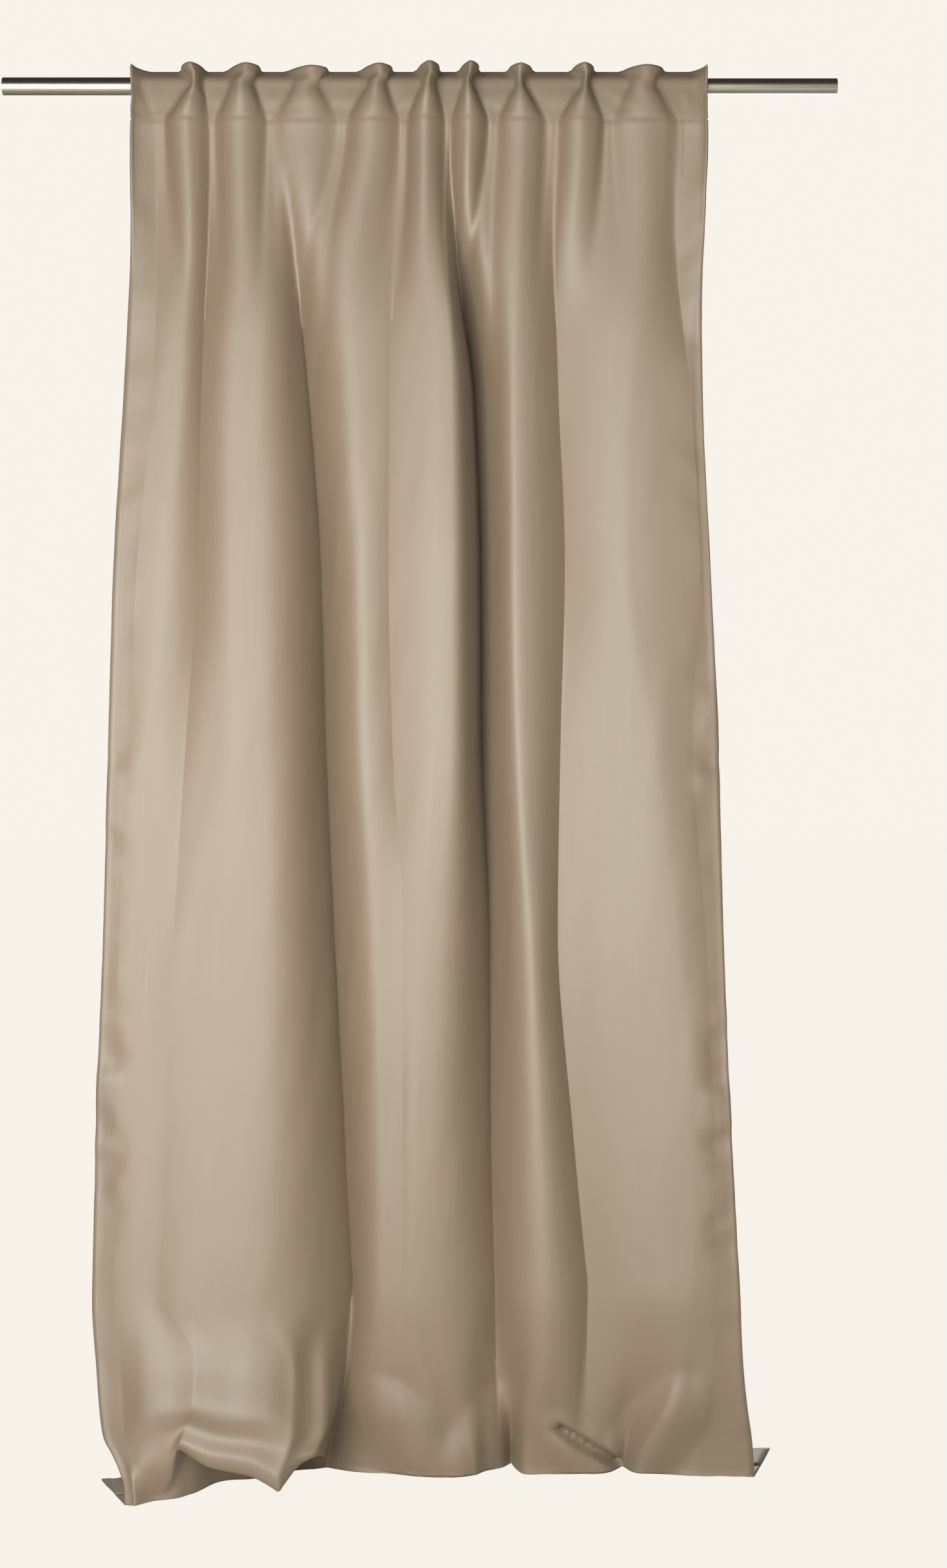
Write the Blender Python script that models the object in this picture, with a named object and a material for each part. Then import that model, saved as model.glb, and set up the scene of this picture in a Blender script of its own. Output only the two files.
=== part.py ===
"""Window curtain: one wide panel hung by hidden back tabs on a telescopic rod.

Metres, +Z up, X along the rod, the room side at -Y.  The origin is on the rod's
axis, halfway along it.  Every piece is one closed solid with its own material.
"""
import math

import bmesh
import bpy
from mathutils import Vector

# ---- rod -------------------------------------------------------------------
ROD_LENGTH = 1.353          # both tubes together, as drawn out
ROD_HEIGHT = 2.260          # rod axis above the floor
OUTER_TUBE_R = 0.014
OUTER_TUBE_WALL = 0.0011
OUTER_TUBE_LENGTH = 0.840
TUBE_CLEARANCE = 0.0004      # sliding gap between the two tubes
INNER_TUBE_R = OUTER_TUBE_R - OUTER_TUBE_WALL - TUBE_CLEARANCE
INNER_TUBE_WALL = 0.0010
INNER_TUBE_LENGTH = 0.800
TUBE_SIDES = 32

# ---- cloth -----------------------------------------------------------------
CLOTH_T = 0.0009            # one layer of the satin
HEADING_LAYERS = 2
TAB_LAYERS = 2
HEM_LAYERS = 3
SEAT_GAP = 0.0003           # clearance between neighbouring pieces
HEADING_TOP = 0.027         # top edge above the rod's axis
HEADING_DEPTH = 0.089       # width of the folded-over heading
SIDE_HEM_WIDTH = 0.015
SIDE_HEM_GAP = 0.0006        # between a side hem and the panel it edges
TAB_WIDTH = 0.036
TAB_FLAT = 0.038            # stretch of heading held flat by one tab
TAB_PITCH_CLOTH = 0.1467    # cloth between two tab centres
FLOOR_RETURN = 0.155        # cloth lying on the floor behind the fold
BOTTOM_HEM_DEPTH = 0.095
FLOOR_BEND_R = 0.008

HEADING_T = CLOTH_T * HEADING_LAYERS
TAB_T = CLOTH_T * TAB_LAYERS
HEM_T = CLOTH_T * HEM_LAYERS

# Tab centres along the rod, and the two side edges at the heading.
TAB_X = (-0.4222, -0.3365, -0.2424, -0.1275, -0.0282, 0.0449, 0.1170, 0.2132, 0.3041, 0.4243)
LEFT_EDGE_X = -0.464
RIGHT_EDGE_X = 0.463
EDGE_Y = -0.038
TAB_CREST_FADE = 0.94       # how far a ridge at the heading keeps its depth at the seam

# Folds of the hanging cloth: at each height, from the left edge to the right edge,
# the edge, then valley and ridge in turn, as (x, y).
FOLDS_UPPER_Z = -0.280
FOLDS_UPPER = (
    (-0.463, -0.040), (-0.428, -0.025), (-0.383, -0.060), (-0.348, -0.015),
    (-0.285, -0.062), (-0.206, -0.005), (-0.178, -0.050), (-0.146, -0.008),
    (-0.105, -0.058), (-0.052, -0.030), (0.018, -0.065), (0.056, 0.025),
    (0.091, -0.050), (0.116, 0.015), (0.153, -0.055), (0.215, -0.010),
    (0.256, -0.055), (0.303, -0.025), (0.339, -0.050), (0.408, -0.025),
    (0.454, -0.035),
)
FOLDS_MIDDLE_Z = -0.900
FOLDS_MIDDLE = (
    (-0.497, -0.050), (-0.461, -0.050), (-0.412, -0.075), (-0.358, -0.055),
    (-0.289, -0.080), (-0.228, -0.065), (-0.190, -0.010), (-0.155, 0.035),
    (-0.090, -0.060), (-0.054, -0.060), (0.039, -0.080), (0.088, 0.050),
    (0.106, 0.060), (0.122, 0.040), (0.157, -0.065), (0.205, -0.035),
    (0.229, -0.025), (0.253, -0.020), (0.338, -0.055), (0.422, -0.040),
    (0.476, -0.025),
)
FOLDS_LOWER_Z = -1.600
FOLDS_LOWER = (
    (-0.513, -0.070), (-0.476, -0.060), (-0.401, -0.090), (-0.339, -0.090),
    (-0.257, -0.090), (-0.197, -0.070), (-0.158, -0.010), (-0.124, 0.045),
    (-0.064, -0.050), (-0.012, -0.065), (0.050, -0.050), (0.098, 0.035),
    (0.119, 0.050), (0.140, 0.030), (0.183, -0.060), (0.215, -0.040),
    (0.243, 0.000), (0.270, 0.010), (0.341, -0.020), (0.422, -0.045),
    (0.496, -0.040),
)
FOLDS_FOOT_Z = -2.100
FOLDS_FOOT = (
    (-0.510, -0.110), (-0.469, -0.115), (-0.394, -0.140), (-0.324, -0.140),
    (-0.244, -0.130), (-0.185, -0.090), (-0.148, -0.010), (-0.113, 0.050),
    (-0.065, 0.010), (-0.023, -0.010), (0.019, -0.010), (0.061, 0.010),
    (0.103, 0.015), (0.145, 0.030), (0.205, -0.030), (0.237, -0.025),
    (0.264, -0.010), (0.301, 0.000), (0.363, -0.010), (0.445, -0.020),
    (0.524, -0.022),
)
FLOOR_LINE = (
    (-0.455, -0.150), (-0.425, -0.140), (-0.392, -0.115), (-0.360, -0.088),
    (-0.322, -0.040), (-0.264, 0.015), (-0.213, 0.055), (-0.159, 0.060),
    (-0.097, 0.040), (-0.034, 0.022), (0.040, 0.004), (0.082, 0.010),
    (0.114, 0.035), (0.147, 0.070), (0.177, 0.030), (0.239, 0.025),
    (0.292, 0.028), (0.324, 0.045), (0.356, 0.028), (0.448, 0.015),
    (0.544, 0.008),
)


def clear_scene():
    for obj in list(bpy.data.objects):
        bpy.data.objects.remove(obj, do_unlink=True)


def add_material(name, colour, metallic, roughness):
    material = bpy.data.materials.new(name)
    material.use_nodes = True
    shader = material.node_tree.nodes["Principled BSDF"]
    shader.inputs["Base Color"].default_value = (*colour, 1.0)
    shader.inputs["Metallic"].default_value = metallic
    shader.inputs["Roughness"].default_value = roughness
    return material


def add_object(name, bm, material):
    bmesh.ops.recalc_face_normals(bm, faces=bm.faces)
    bmesh.ops.triangulate(bm, faces=bm.faces)
    mesh = bpy.data.meshes.new(name)
    bm.to_mesh(mesh)
    bm.free()
    mesh.materials.append(material)
    obj = bpy.data.objects.new(name, mesh)
    bpy.context.scene.collection.objects.link(obj)
    return obj


# ---- rod -------------------------------------------------------------------
def tube(name, x_start, x_end, radius, wall, material):
    """An open tube along X, its wall between two radii."""
    bm = bmesh.new()
    rings = []
    for x, r in ((x_start, radius), (x_end, radius), (x_end, radius - wall), (x_start, radius - wall)):
        turn = [2.0 * math.pi * k / TUBE_SIDES for k in range(TUBE_SIDES)]
        rings.append([bm.verts.new((x, r * math.cos(a), r * math.sin(a))) for a in turn])
    for ring, following in zip(rings, rings[1:] + rings[:1]):
        for k in range(TUBE_SIDES):
            j = (k + 1) % TUBE_SIDES
            bm.faces.new((ring[k], ring[j], following[j], following[k]))
    return add_object(name, bm, material)


# ---- sheets ----------------------------------------------------------------
def grid_normals(rows):
    """A unit normal at each point of a grid, from its neighbours."""
    normals = []
    last_row = len(rows) - 1
    for i, row in enumerate(rows):
        last = len(row) - 1
        line = []
        for j in range(len(row)):
            along = row[min(j + 1, last)] - row[max(j - 1, 0)]
            down = rows[min(i + 1, last_row)][j] - rows[max(i - 1, 0)][j]
            line.append(along.cross(down).normalized())
        normals.append(line)
    return normals


def sheet(name, rows, thickness, material):
    """A closed solid of one thickness laid about a grid of points."""
    bm = bmesh.new()
    half = 0.5 * thickness
    sides = []
    for sign in (1.0, -1.0):
        layer = [
            [bm.verts.new(p + n * (sign * half)) for p, n in zip(row, line)]
            for row, line in zip(rows, grid_normals(rows))
        ]
        sides.append(layer)
    front, back = sides
    height = len(rows)
    width = len(rows[0])
    for i in range(height - 1):
        for j in range(width - 1):
            for side in (front, back):
                bm.faces.new((side[i][j], side[i][j + 1], side[i + 1][j + 1], side[i + 1][j]))
    for i in range(height - 1):
        for j in (0, width - 1):
            bm.faces.new((front[i][j], front[i + 1][j], back[i + 1][j], back[i][j]))
    for j in range(width - 1):
        for i in (0, height - 1):
            bm.faces.new((front[i][j], front[i][j + 1], back[i][j + 1], back[i][j]))
    return add_object(name, bm, material)


# ---- plan curves -----------------------------------------------------------
def crest_points(x_start, x_end, y_base, depth):
    """The cloth that stands forward between two tabs."""
    width = x_end - x_start
    middle = 0.5 * (x_start + x_end)
    return (
        (x_start + 0.16 * width, y_base - 0.70 * depth),
        (middle, y_base - depth),
        (x_end - 0.16 * width, y_base - 0.70 * depth),
    )


def run_length(points):
    return sum(math.dist(a, b) for a, b in zip(points, points[1:]))


def crest_depth(x_start, x_end, cloth):
    """How far the cloth must stand forward to use up its length."""
    low, high = 0.0, cloth
    for _ in range(30):
        depth = 0.5 * (low + high)
        points = ((x_start, 0.0), *crest_points(x_start, x_end, 0.0, depth), (x_end, 0.0))
        if run_length(points) < cloth:
            low = depth
        else:
            high = depth
    return low


def heading_curve(y_tab, fade):
    """Plan of the heading: flat at each tab, standing forward between tabs."""
    half = 0.5 * TAB_FLAT
    points = [(LEFT_EDGE_X, EDGE_Y)]
    for number, x in enumerate(TAB_X):
        points.append((x - half, y_tab))
        points.append((x + half, y_tab))
        if number + 1 < len(TAB_X):
            start, end = x + half, TAB_X[number + 1] - half
            depth = fade * crest_depth(start, end, TAB_PITCH_CLOTH - TAB_FLAT)
            points.extend(crest_points(start, end, y_tab, depth))
    points.append((RIGHT_EDGE_X, EDGE_Y))
    return points


def fold_curve(table):
    """The same run of points taken along a table of valleys and ridges."""
    def at(t):
        k = min(int(t), len(table) - 2)
        f = t - k
        f = f * f * (3.0 - 2.0 * f) if 0 < k < len(table) - 2 else f
        x = table[k][0] + (t - k) * (table[k + 1][0] - table[k][0])
        y = table[k][1] + f * (table[k + 1][1] - table[k][1])
        return (x, y)

    marks = [0.0]
    for number in range(len(TAB_X)):
        valley = 1.0 + 2.0 * number
        marks.extend((valley - 0.25, valley + 0.25))
        if number + 1 < len(TAB_X):
            marks.extend((valley + 0.6, valley + 1.0, valley + 1.4))
    marks.append(len(table) - 1.0)
    return [at(t) for t in marks]


def blend_curves(a, b, f):
    return [(p[0] + f * (q[0] - p[0]), p[1] + f * (q[1] - p[1])) for p, q in zip(a, b)]


def lift(curve, z):
    return [Vector((x, y, z)) for x, y in curve]


# ---- heading ---------------------------------------------------------------
def tab_seat_y(z):
    """Where the heading's mid-surface lies at a tab, clear of the rod's front."""
    reach = OUTER_TUBE_R + 2.0 * SEAT_GAP + 0.5 * HEADING_T + 0.0002
    margin_y = -0.0060
    if z > 0.0:
        front = math.sqrt(max(reach * reach - z * z, 0.0))
        return min(margin_y, -front)
    fall = min(-z / (HEADING_DEPTH - HEADING_TOP), 1.0)
    return -reach + fall * (reach + margin_y)


def heading_rows():
    seam_z = HEADING_TOP - HEADING_DEPTH
    heights = (HEADING_TOP, 0.020, 0.014, 0.007, 0.0, -0.020, -0.042, seam_z)
    rows = []
    for z in heights:
        fade = 1.0 if z >= 0.0 else 1.0 + (TAB_CREST_FADE - 1.0) * z / seam_z
        rows.append(lift(heading_curve(tab_seat_y(z), fade), z))
    return rows


# ---- panel -----------------------------------------------------------------
def hanging_levels():
    """Plan curves of the panel from the seam down to just above the floor."""
    seam_z = HEADING_TOP - HEADING_DEPTH
    seam = heading_curve(tab_seat_y(seam_z), TAB_CREST_FADE)
    bend_z = FLOOR_BEND_R + 0.5 * HEM_T - ROD_HEIGHT
    return [
        (seam_z - SEAT_GAP, seam),
        (FOLDS_UPPER_Z, fold_curve(FOLDS_UPPER)),
        (FOLDS_MIDDLE_Z, fold_curve(FOLDS_MIDDLE)),
        (FOLDS_LOWER_Z, fold_curve(FOLDS_LOWER)),
        (FOLDS_FOOT_Z, fold_curve(FOLDS_FOOT)),
        (bend_z, fold_curve(FLOOR_LINE)),
    ]


def panel_rows():
    """The drop of the panel, its fold on the floor, and the start of its return."""
    levels = hanging_levels()
    rows = []
    for (z_a, curve_a), (z_b, curve_b) in zip(levels, levels[1:]):
        steps = 1 if z_a - z_b < 0.30 else 2
        for k in range(steps):
            f = k / steps
            rows.append(lift(blend_curves(curve_a, curve_b, f), z_a + f * (z_b - z_a)))
    bend_z, fold = levels[-1]
    rows.append(lift(fold, bend_z))
    floor_z = 0.5 * HEM_T - ROD_HEIGHT
    slack = FLOOR_BEND_R * (1.0 - math.sqrt(0.5))
    rows.append(lift([(x, y + slack) for x, y in fold], bend_z - FLOOR_BEND_R + slack))
    for back in (FLOOR_BEND_R, FLOOR_RETURN - BOTTOM_HEM_DEPTH - SEAT_GAP):
        rows.append(lift([(x, y + back) for x, y in fold], floor_z))
    return rows


def step_along(start, towards, distance):
    way = towards - start
    return start + way.normalized() * min(distance, 0.9 * way.length)


def edge_strip(rows, side):
    """The outermost stretch of a grid, as a hem's own narrow grid."""
    strip = []
    for row in rows:
        edge, inner = (row[0], row[1]) if side == "left" else (row[-1], row[-2])
        fold = step_along(edge, inner, SIDE_HEM_WIDTH)
        strip.append([edge, fold] if side == "left" else [fold, edge])
    return strip


def without_edges(rows):
    """The grid between the two side hems."""
    reach = SIDE_HEM_WIDTH + SIDE_HEM_GAP
    trimmed = []
    for row in rows:
        first = step_along(row[0], row[1], reach)
        last = step_along(row[-1], row[-2], reach)
        trimmed.append([first, *row[1:-1], last])
    return trimmed


def bottom_hem_rows():
    fold = fold_curve(FLOOR_LINE)
    floor_z = 0.5 * HEM_T - ROD_HEIGHT
    reaches = (FLOOR_RETURN - BOTTOM_HEM_DEPTH, FLOOR_RETURN)
    return [lift([(x, y + back) for x, y in fold], floor_z) for back in reaches]


# ---- back tabs -------------------------------------------------------------
def tab_profile():
    """Side view of a tab, from its upper stitching over the rod to its lower one."""
    reach = OUTER_TUBE_R + SEAT_GAP + 0.5 * TAB_T
    seat = 0.5 * HEADING_T + SEAT_GAP + 0.5 * TAB_T
    lower_z = HEADING_TOP - HEADING_DEPTH + 0.004
    points = [(tab_seat_y(z) + seat, z) for z in (0.0235, 0.0185)]
    for degrees in (78, 52, 26, 0, -26, -50):
        turn = math.radians(degrees)
        corner = reach / math.cos(math.radians(13))
        points.append((corner * math.cos(turn), corner * math.sin(turn)))
    points.extend((tab_seat_y(z) + seat, z) for z in (lower_z + 0.007, lower_z))
    return points


def back_tab(name, x, material):
    half = 0.5 * TAB_WIDTH
    rows = [[Vector((x - half, y, z)), Vector((x + half, y, z))] for y, z in tab_profile()]
    return sheet(name, rows, TAB_T, material)


def build():
    clear_scene()
    outer_steel = add_material("outer_tube_steel", (0.36, 0.34, 0.31), 1.0, 0.28)
    inner_steel = add_material("inner_tube_steel", (0.40, 0.38, 0.34), 1.0, 0.28)
    rod_left = -0.5 * ROD_LENGTH
    rod_right = 0.5 * ROD_LENGTH
    outer_end = rod_left + OUTER_TUBE_LENGTH
    inner_start = rod_right - INNER_TUBE_LENGTH
    tube("rod_outer_tube", rod_left, outer_end, OUTER_TUBE_R, OUTER_TUBE_WALL, outer_steel)
    tube("rod_inner_tube", inner_start, rod_right, INNER_TUBE_R, INNER_TUBE_WALL, inner_steel)

    satin = add_material("panel_satin", (0.42, 0.34, 0.27), 0.0, 0.5)
    sheet("curtain_panel", without_edges(panel_rows()), CLOTH_T, satin)
    heading_satin = add_material("heading_satin", (0.41, 0.33, 0.26), 0.0, 0.5)
    sheet("heading", heading_rows(), HEADING_T, heading_satin)
    for side in ("left", "right"):
        hem_satin = add_material("side_hem_" + side + "_satin", (0.40, 0.32, 0.25), 0.0, 0.5)
        sheet("side_hem_" + side, edge_strip(panel_rows(), side), HEM_T, hem_satin)
    bottom_satin = add_material("bottom_hem_satin", (0.38, 0.31, 0.24), 0.0, 0.5)
    sheet("bottom_hem", bottom_hem_rows(), HEM_T, bottom_satin)

    for number, x in enumerate(TAB_X, start=1):
        name = "back_tab_%02d" % number
        tab_satin = add_material(name + "_satin", (0.39, 0.32, 0.25), 0.0, 0.5)
        back_tab(name, x, tab_satin)


build()
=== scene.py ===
# %% [markdown]
# # A satin curtain on a telescopic rod
#
# One wide curtain hangs from strips sewn to its back, which the rod runs through.
# The cloth is longer than its drop, so it folds on the floor and runs back behind itself.
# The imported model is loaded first: it gives every piece its place and its way of moving.

import math

import bmesh
import bpy
import numpy as np
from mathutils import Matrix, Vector


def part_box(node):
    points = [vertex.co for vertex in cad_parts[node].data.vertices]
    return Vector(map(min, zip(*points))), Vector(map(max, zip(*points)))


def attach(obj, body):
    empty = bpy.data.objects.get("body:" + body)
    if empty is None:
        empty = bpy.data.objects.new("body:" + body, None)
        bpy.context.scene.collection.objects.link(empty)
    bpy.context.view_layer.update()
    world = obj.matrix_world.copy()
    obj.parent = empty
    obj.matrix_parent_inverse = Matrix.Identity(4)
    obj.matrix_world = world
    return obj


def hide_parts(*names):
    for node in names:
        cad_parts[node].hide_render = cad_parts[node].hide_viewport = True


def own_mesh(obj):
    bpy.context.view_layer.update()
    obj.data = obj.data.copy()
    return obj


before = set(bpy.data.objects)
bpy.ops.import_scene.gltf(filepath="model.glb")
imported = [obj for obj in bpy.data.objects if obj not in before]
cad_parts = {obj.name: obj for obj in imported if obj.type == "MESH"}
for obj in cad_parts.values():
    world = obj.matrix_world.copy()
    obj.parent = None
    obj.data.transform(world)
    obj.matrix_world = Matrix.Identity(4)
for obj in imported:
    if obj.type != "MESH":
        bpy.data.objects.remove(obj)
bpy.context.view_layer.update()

# %% [markdown]
# ## Helpers for colour and node trees
#
# A dye or a metal is quoted as an sRGB hex value, and Blender's sockets want linear light,
# so one function turns the first into the second. One more adds a node with its settings
# and its links, which keeps each finish below to a short list of steps.

# %% Colour and node helpers


def linear(hex_colour):
    """An sRGB hex value as a linear RGBA colour."""
    parts = [int(hex_colour[i : i + 2], 16) / 255 for i in (1, 3, 5)]
    return (*[c / 12.92 if c <= 0.04045 else ((c + 0.055) / 1.055) ** 2.4 for c in parts], 1.0)


def add(tree, kind, settings=None, **sockets):
    """Adds a node. A socket given as another socket is linked, and any other value is set."""
    node = tree.nodes.new(kind)
    for key, value in (settings or {}).items():
        setattr(node, key, value)
    for key, value in sockets.items():
        name = key.replace("_", " ")
        socket = node.inputs[int(name[3:])] if name.startswith("in ") else node.inputs[name]
        if isinstance(value, bpy.types.NodeSocket):
            tree.links.new(value, socket)
        else:
            socket.default_value = value
    return node


def new_material(name):
    """An empty node material with its output, and its tree."""
    material = bpy.data.materials.new(name)
    material.use_nodes = True
    tree = material.node_tree
    tree.nodes.clear()
    return material, tree


# %% [markdown]
# ## The shape of the hanging cloth
#
# A hung curtain is a sheet that bends easily and hardly stretches. Each level of it, seen
# from above, is one long wavy line, and on a real curtain those lines are all as long as the
# cloth is wide. The lines here come within a quarter of that. The folds are drawn as plan
# lines at a few heights, from the edge on the left through valley and ridge in turn to the
# edge on the right, and smooth curves join them. A full drape from a flat sheet would give
# folds of its own, not these.

# %% Sizes of the cloth, in metres
TAB_X = (-0.4222, -0.3365, -0.2424, -0.1275, -0.0282, 0.0449, 0.1170, 0.2132, 0.3041, 0.4243)
ROD_R = 0.014
ROD_HEIGHT = 2.260
FLAT_WIDTH = 1.40
FLAT_LENGTH = 2.45
CLOTH_T = 0.0009
HEADING_TOP = 0.027
HEADING_DEPTH = 0.089
SEAM_Z = HEADING_TOP - HEADING_DEPTH
HEM_DEPTH = 0.095
SIDE_HEM = 0.015
TAB_PITCH = 0.1467
FLOOR_Z = 0.0016 - ROD_HEIGHT
print("curtain cut", FLAT_WIDTH, "by", FLAT_LENGTH, "m, its seam at", round(SEAM_Z, 4))

# %% Plan lines of the folds, in millimetres: a height, then the line's own (x, y) points
# The points are the left edge, then valley and ridge in turn, then the right edge.
FOLDS = (
    (-129, (-462, -36), (-425, -18), (-375, -40), (-337, -10), (-283, -46), (-221, -4), (-115, -42),
     (-29, -14), (22, -52), (50, 50), (157, -44), (213, -12), (346, -38), (410, -16), (454, -36)),
    (-285, (-465, -38), (-423, -34), (-376, -44), (-343, -18), (-284, -52), (-203, 6), (-106, -46),
     (-40, -34), (37, -58), (60, 60), (156, -46), (217, -10), (346, -42), (415, -20), (454, -34)),
    (-492, (-474, -44), (-426, -48), (-386, -52), (-351, -32), (-291, -60), (-183, 20), (-98, -50),
     (-48, -42), (50, -64), (88, 72), (154, -48), (224, -8), (342, -44), (434, -33), (456, -30)),
    (-782, (-490, -50), (-452, -55), (-412, -58), (-356, -42), (-292, -68), (-162, 28), (-87, -56),
     (-49, -48), (51, -70), (99, 70), (154, -54), (235, -8), (335, -44), (452, -31), (469, -28)),
    (-1063, (-498, -54), (-464, -58), (-435, -62), (-373, -58), (-287, -74), (-154, 32), (-83, -58),
     (-43, -50), (49, -70), (101, 62), (160, -56), (228, -14), (376, -46), (439, -34), (482, -28)),
    (-1374, (-505, -60), (-479, -64), (-450, -67), (-390, -70), (-291, -78), (-141, 32), (-62, -54),
     (-26, -56), (20, -62), (113, 48), (179, -54), (223, -12), (412, -52), (459, -43), (489, -38)),
    (-1685, (-516, -68), (-484, -73), (-446, -79), (-397, -83), (-315, -90), (-124, 26), (-54, -50),
     (-26, -53), (-1, -58), (115, 34), (194, -52), (247, -8), (437, -56), (472, -49), (501, -44)),
    (-1944, (-519, -84), (-484, -90), (-443, -96), (-407, -101), (-355, -108), (-110, 14), (-53, -44),
     (-28, -46), (-5, -49), (122, 20), (207, -48), (272, -6), (435, -52), (476, -47), (515, -42)),
)
# How late the wall between each two points turns steep, and how many columns of the grid it has.
WALLS = ((1.8, 7), (1.8, 7), (2.2, 10), (2.0, 12), (4.0, 22), (2.2, 16), (1.8, 8), (1.8, 12), (3.0, 16),
         (2.0, 16), (2.0, 14), (1.5, 18), (2.0, 14), (1.8, 8))

# %% Two narrow folds that start at the seam and run out between others
# Each has its x at the seam and at its tip, the tip's height, half its width and how far it stands.
RUN_OUTS = ((-0.180, -0.166, -0.420, 0.040, 0.018), (0.073, 0.111, -0.480, 0.030, 0.040))

# %% [markdown]
# ### The foot of the curtain
#
# Near the floor the cloth no longer hangs in plain vertical folds. The broad fold on the
# left sags over itself like a sack: it swells, hollows, then turns under in a lip that hangs
# just clear of the floor. Elsewhere it slides straight onto the floor. So these lines carry
# a height for each point as well.

# %% Lines of the foot: the fold that sags, as (x, y, z) points, and how far the rest has gone
# The rest slides evenly from the lowest plan line to its fold on the floor. Each line has the
# share of that way and the height of the rest.
FOOT = (
    (0.16, -2.040, ((-0.511, -0.094, -2.056), (-0.470, -0.102, -2.052), (-0.407, -0.119, -2.044),
                    (-0.350, -0.124, -2.040), (-0.262, -0.121, -2.044), (-0.196, -0.102, -2.052),
                    (-0.150, -0.058, -2.050), (-0.114, 0.030, -2.040))),
    (0.34, -2.100, ((-0.497, -0.112, -2.162), (-0.462, -0.122, -2.154), (-0.405, -0.143, -2.118),
                    (-0.352, -0.150, -2.108), (-0.268, -0.150, -2.124), (-0.196, -0.136, -2.143),
                    (-0.147, -0.088, -2.140), (-0.118, 0.030, -2.100))),
    (0.57, -2.150, ((-0.482, -0.122, -2.186), (-0.455, -0.130, -2.180), (-0.402, -0.140, -2.152),
                    (-0.362, -0.141, -2.136), (-0.278, -0.146, -2.155), (-0.202, -0.144, -2.174),
                    (-0.150, -0.100, -2.164), (-0.124, 0.032, -2.150))),
    (0.80, -2.190, ((-0.468, -0.134, -2.212), (-0.449, -0.144, -2.210), (-0.399, -0.142, -2.192),
                    (-0.372, -0.152, -2.160), (-0.290, -0.160, -2.184), (-0.216, -0.162, -2.212),
                    (-0.160, -0.122, -2.182), (-0.132, 0.034, -2.190))),
    (0.96, -2.235, ((-0.460, -0.142, -2.236), (-0.444, -0.151, -2.236), (-0.399, -0.128, -2.236),
                    (-0.374, -0.146, -2.172), (-0.291, -0.151, -2.207), (-0.217, -0.155, -2.236),
                    (-0.162, -0.114, -2.192), (-0.142, 0.040, -2.235))),
    (1.00, -2.251, ((-0.459, -0.145, -2.251), (-0.442, -0.152, -2.251), (-0.397, -0.120, -2.251),
                    (-0.366, -0.108, -2.188), (-0.294, -0.070, -2.190), (-0.225, -0.066, -2.206),
                    (-0.172, -0.030, -2.180), (-0.150, 0.050, -2.251))),
)
FOOT_DOWN = (2.068, 2.132, 2.180, 2.226, 2.272, 2.290)

# %% The fold on the floor, and where the cloth ends behind it, as (x, y) points
FLOOR_FOLD = ((-0.459, -0.146), (-0.442, -0.153), (-0.395, -0.119), (-0.356, -0.085), (-0.308, -0.012),
              (-0.240, 0.006), (-0.190, 0.050), (-0.155, 0.062), (-0.067, 0.028), (-0.016, 0.012),
              (0.050, 0.002), (0.092, 0.019), (0.122, 0.052), (0.149, 0.087), (0.171, 0.023),
              (0.245, 0.023), (0.292, 0.024), (0.333, 0.068), (0.358, 0.027), (0.450, 0.011),
              (0.544, 0.010))
FLOOR_END = ((-0.514, -0.015), (-0.492, -0.010), (-0.425, 0.025), (-0.365, 0.030), (-0.318, 0.060),
             (-0.245, 0.075), (-0.200, 0.110), (-0.155, 0.185), (-0.070, 0.180), (-0.016, 0.166),
             (0.052, 0.156), (0.094, 0.168), (0.126, 0.192), (0.152, 0.200), (0.176, 0.178),
             (0.250, 0.176), (0.298, 0.180), (0.336, 0.198), (0.366, 0.182), (0.468, 0.168),
             (0.588, 0.168))

# %% [markdown]
# ### The heading
#
# At each tab the heading is held flat against the rod, and between two tabs the spare cloth
# stands forward in a ridge. Beside the rod a ridge is pinched into a narrow neck, and at its
# top edge and down at the seam it opens out again, because nothing holds it there. Above the
# rod the held cloth leans back over it.

# %% The ridges between the tabs
RIDGES = len(TAB_X) - 1
# A drawn line has an edge, a valley and ridge in turn, and an edge. Three points lead from each
# of them to the next, and the curve through those points takes three steps between each two.
FEATURES = 2 * len(TAB_X) + 1
STEPS = 3
COLUMNS_EACH = 3 * STEPS

# Left and right side of each neck beside the rod.
NECKS = ((-0.373, -0.350), (-0.309, -0.265), (-0.209, -0.159), (-0.088, -0.051), (0.000, 0.028),
         (0.068, 0.087), (0.152, 0.171), (0.259, 0.275), (0.335, 0.385))
# The x of each edge of the curtain, of a point just inside it, and of where the tab's hold ends.
LEFT_EDGE, RIGHT_EDGE = (-0.464, -0.457, -0.448), (0.463, 0.456, 0.447)

# How far to the right each ridge leans above the rod.
RIDGE_LEANS = (0.0, 0.009, 0.010, 0.008, 0.005, 0.004, 0.0, 0.002, 0.005)
# How much of the depth that its cloth allows each ridge stands out.
RIDGE_SHARES = (0.85, 0.80, 0.50, 0.80, 0.95, 0.95, 0.80, 0.85, 0.70)
# What is left of the held strip, and of a ridge's depth, where nothing pinches the ridges.
OPEN_HOLD, OPEN_DEPTH = 0.20, 0.62
# A ridge's sides stand this share of its width in, and this share of the way out to its top.
SIDE_IN, SIDE_OUT = 0.20, 0.65

# The held cloth keeps this far off the rod, and above this height it leans back by this slope.
ROD_GAP, LEAVES_ROD, LEAN_BACK = 0.0005, 0.0148, 1.6
# Down at the seam it hangs this much further forward than at the rod.
SEAM_FORWARD = 0.004
print(RIDGES, "ridges between", len(TAB_X), "tabs")


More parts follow.
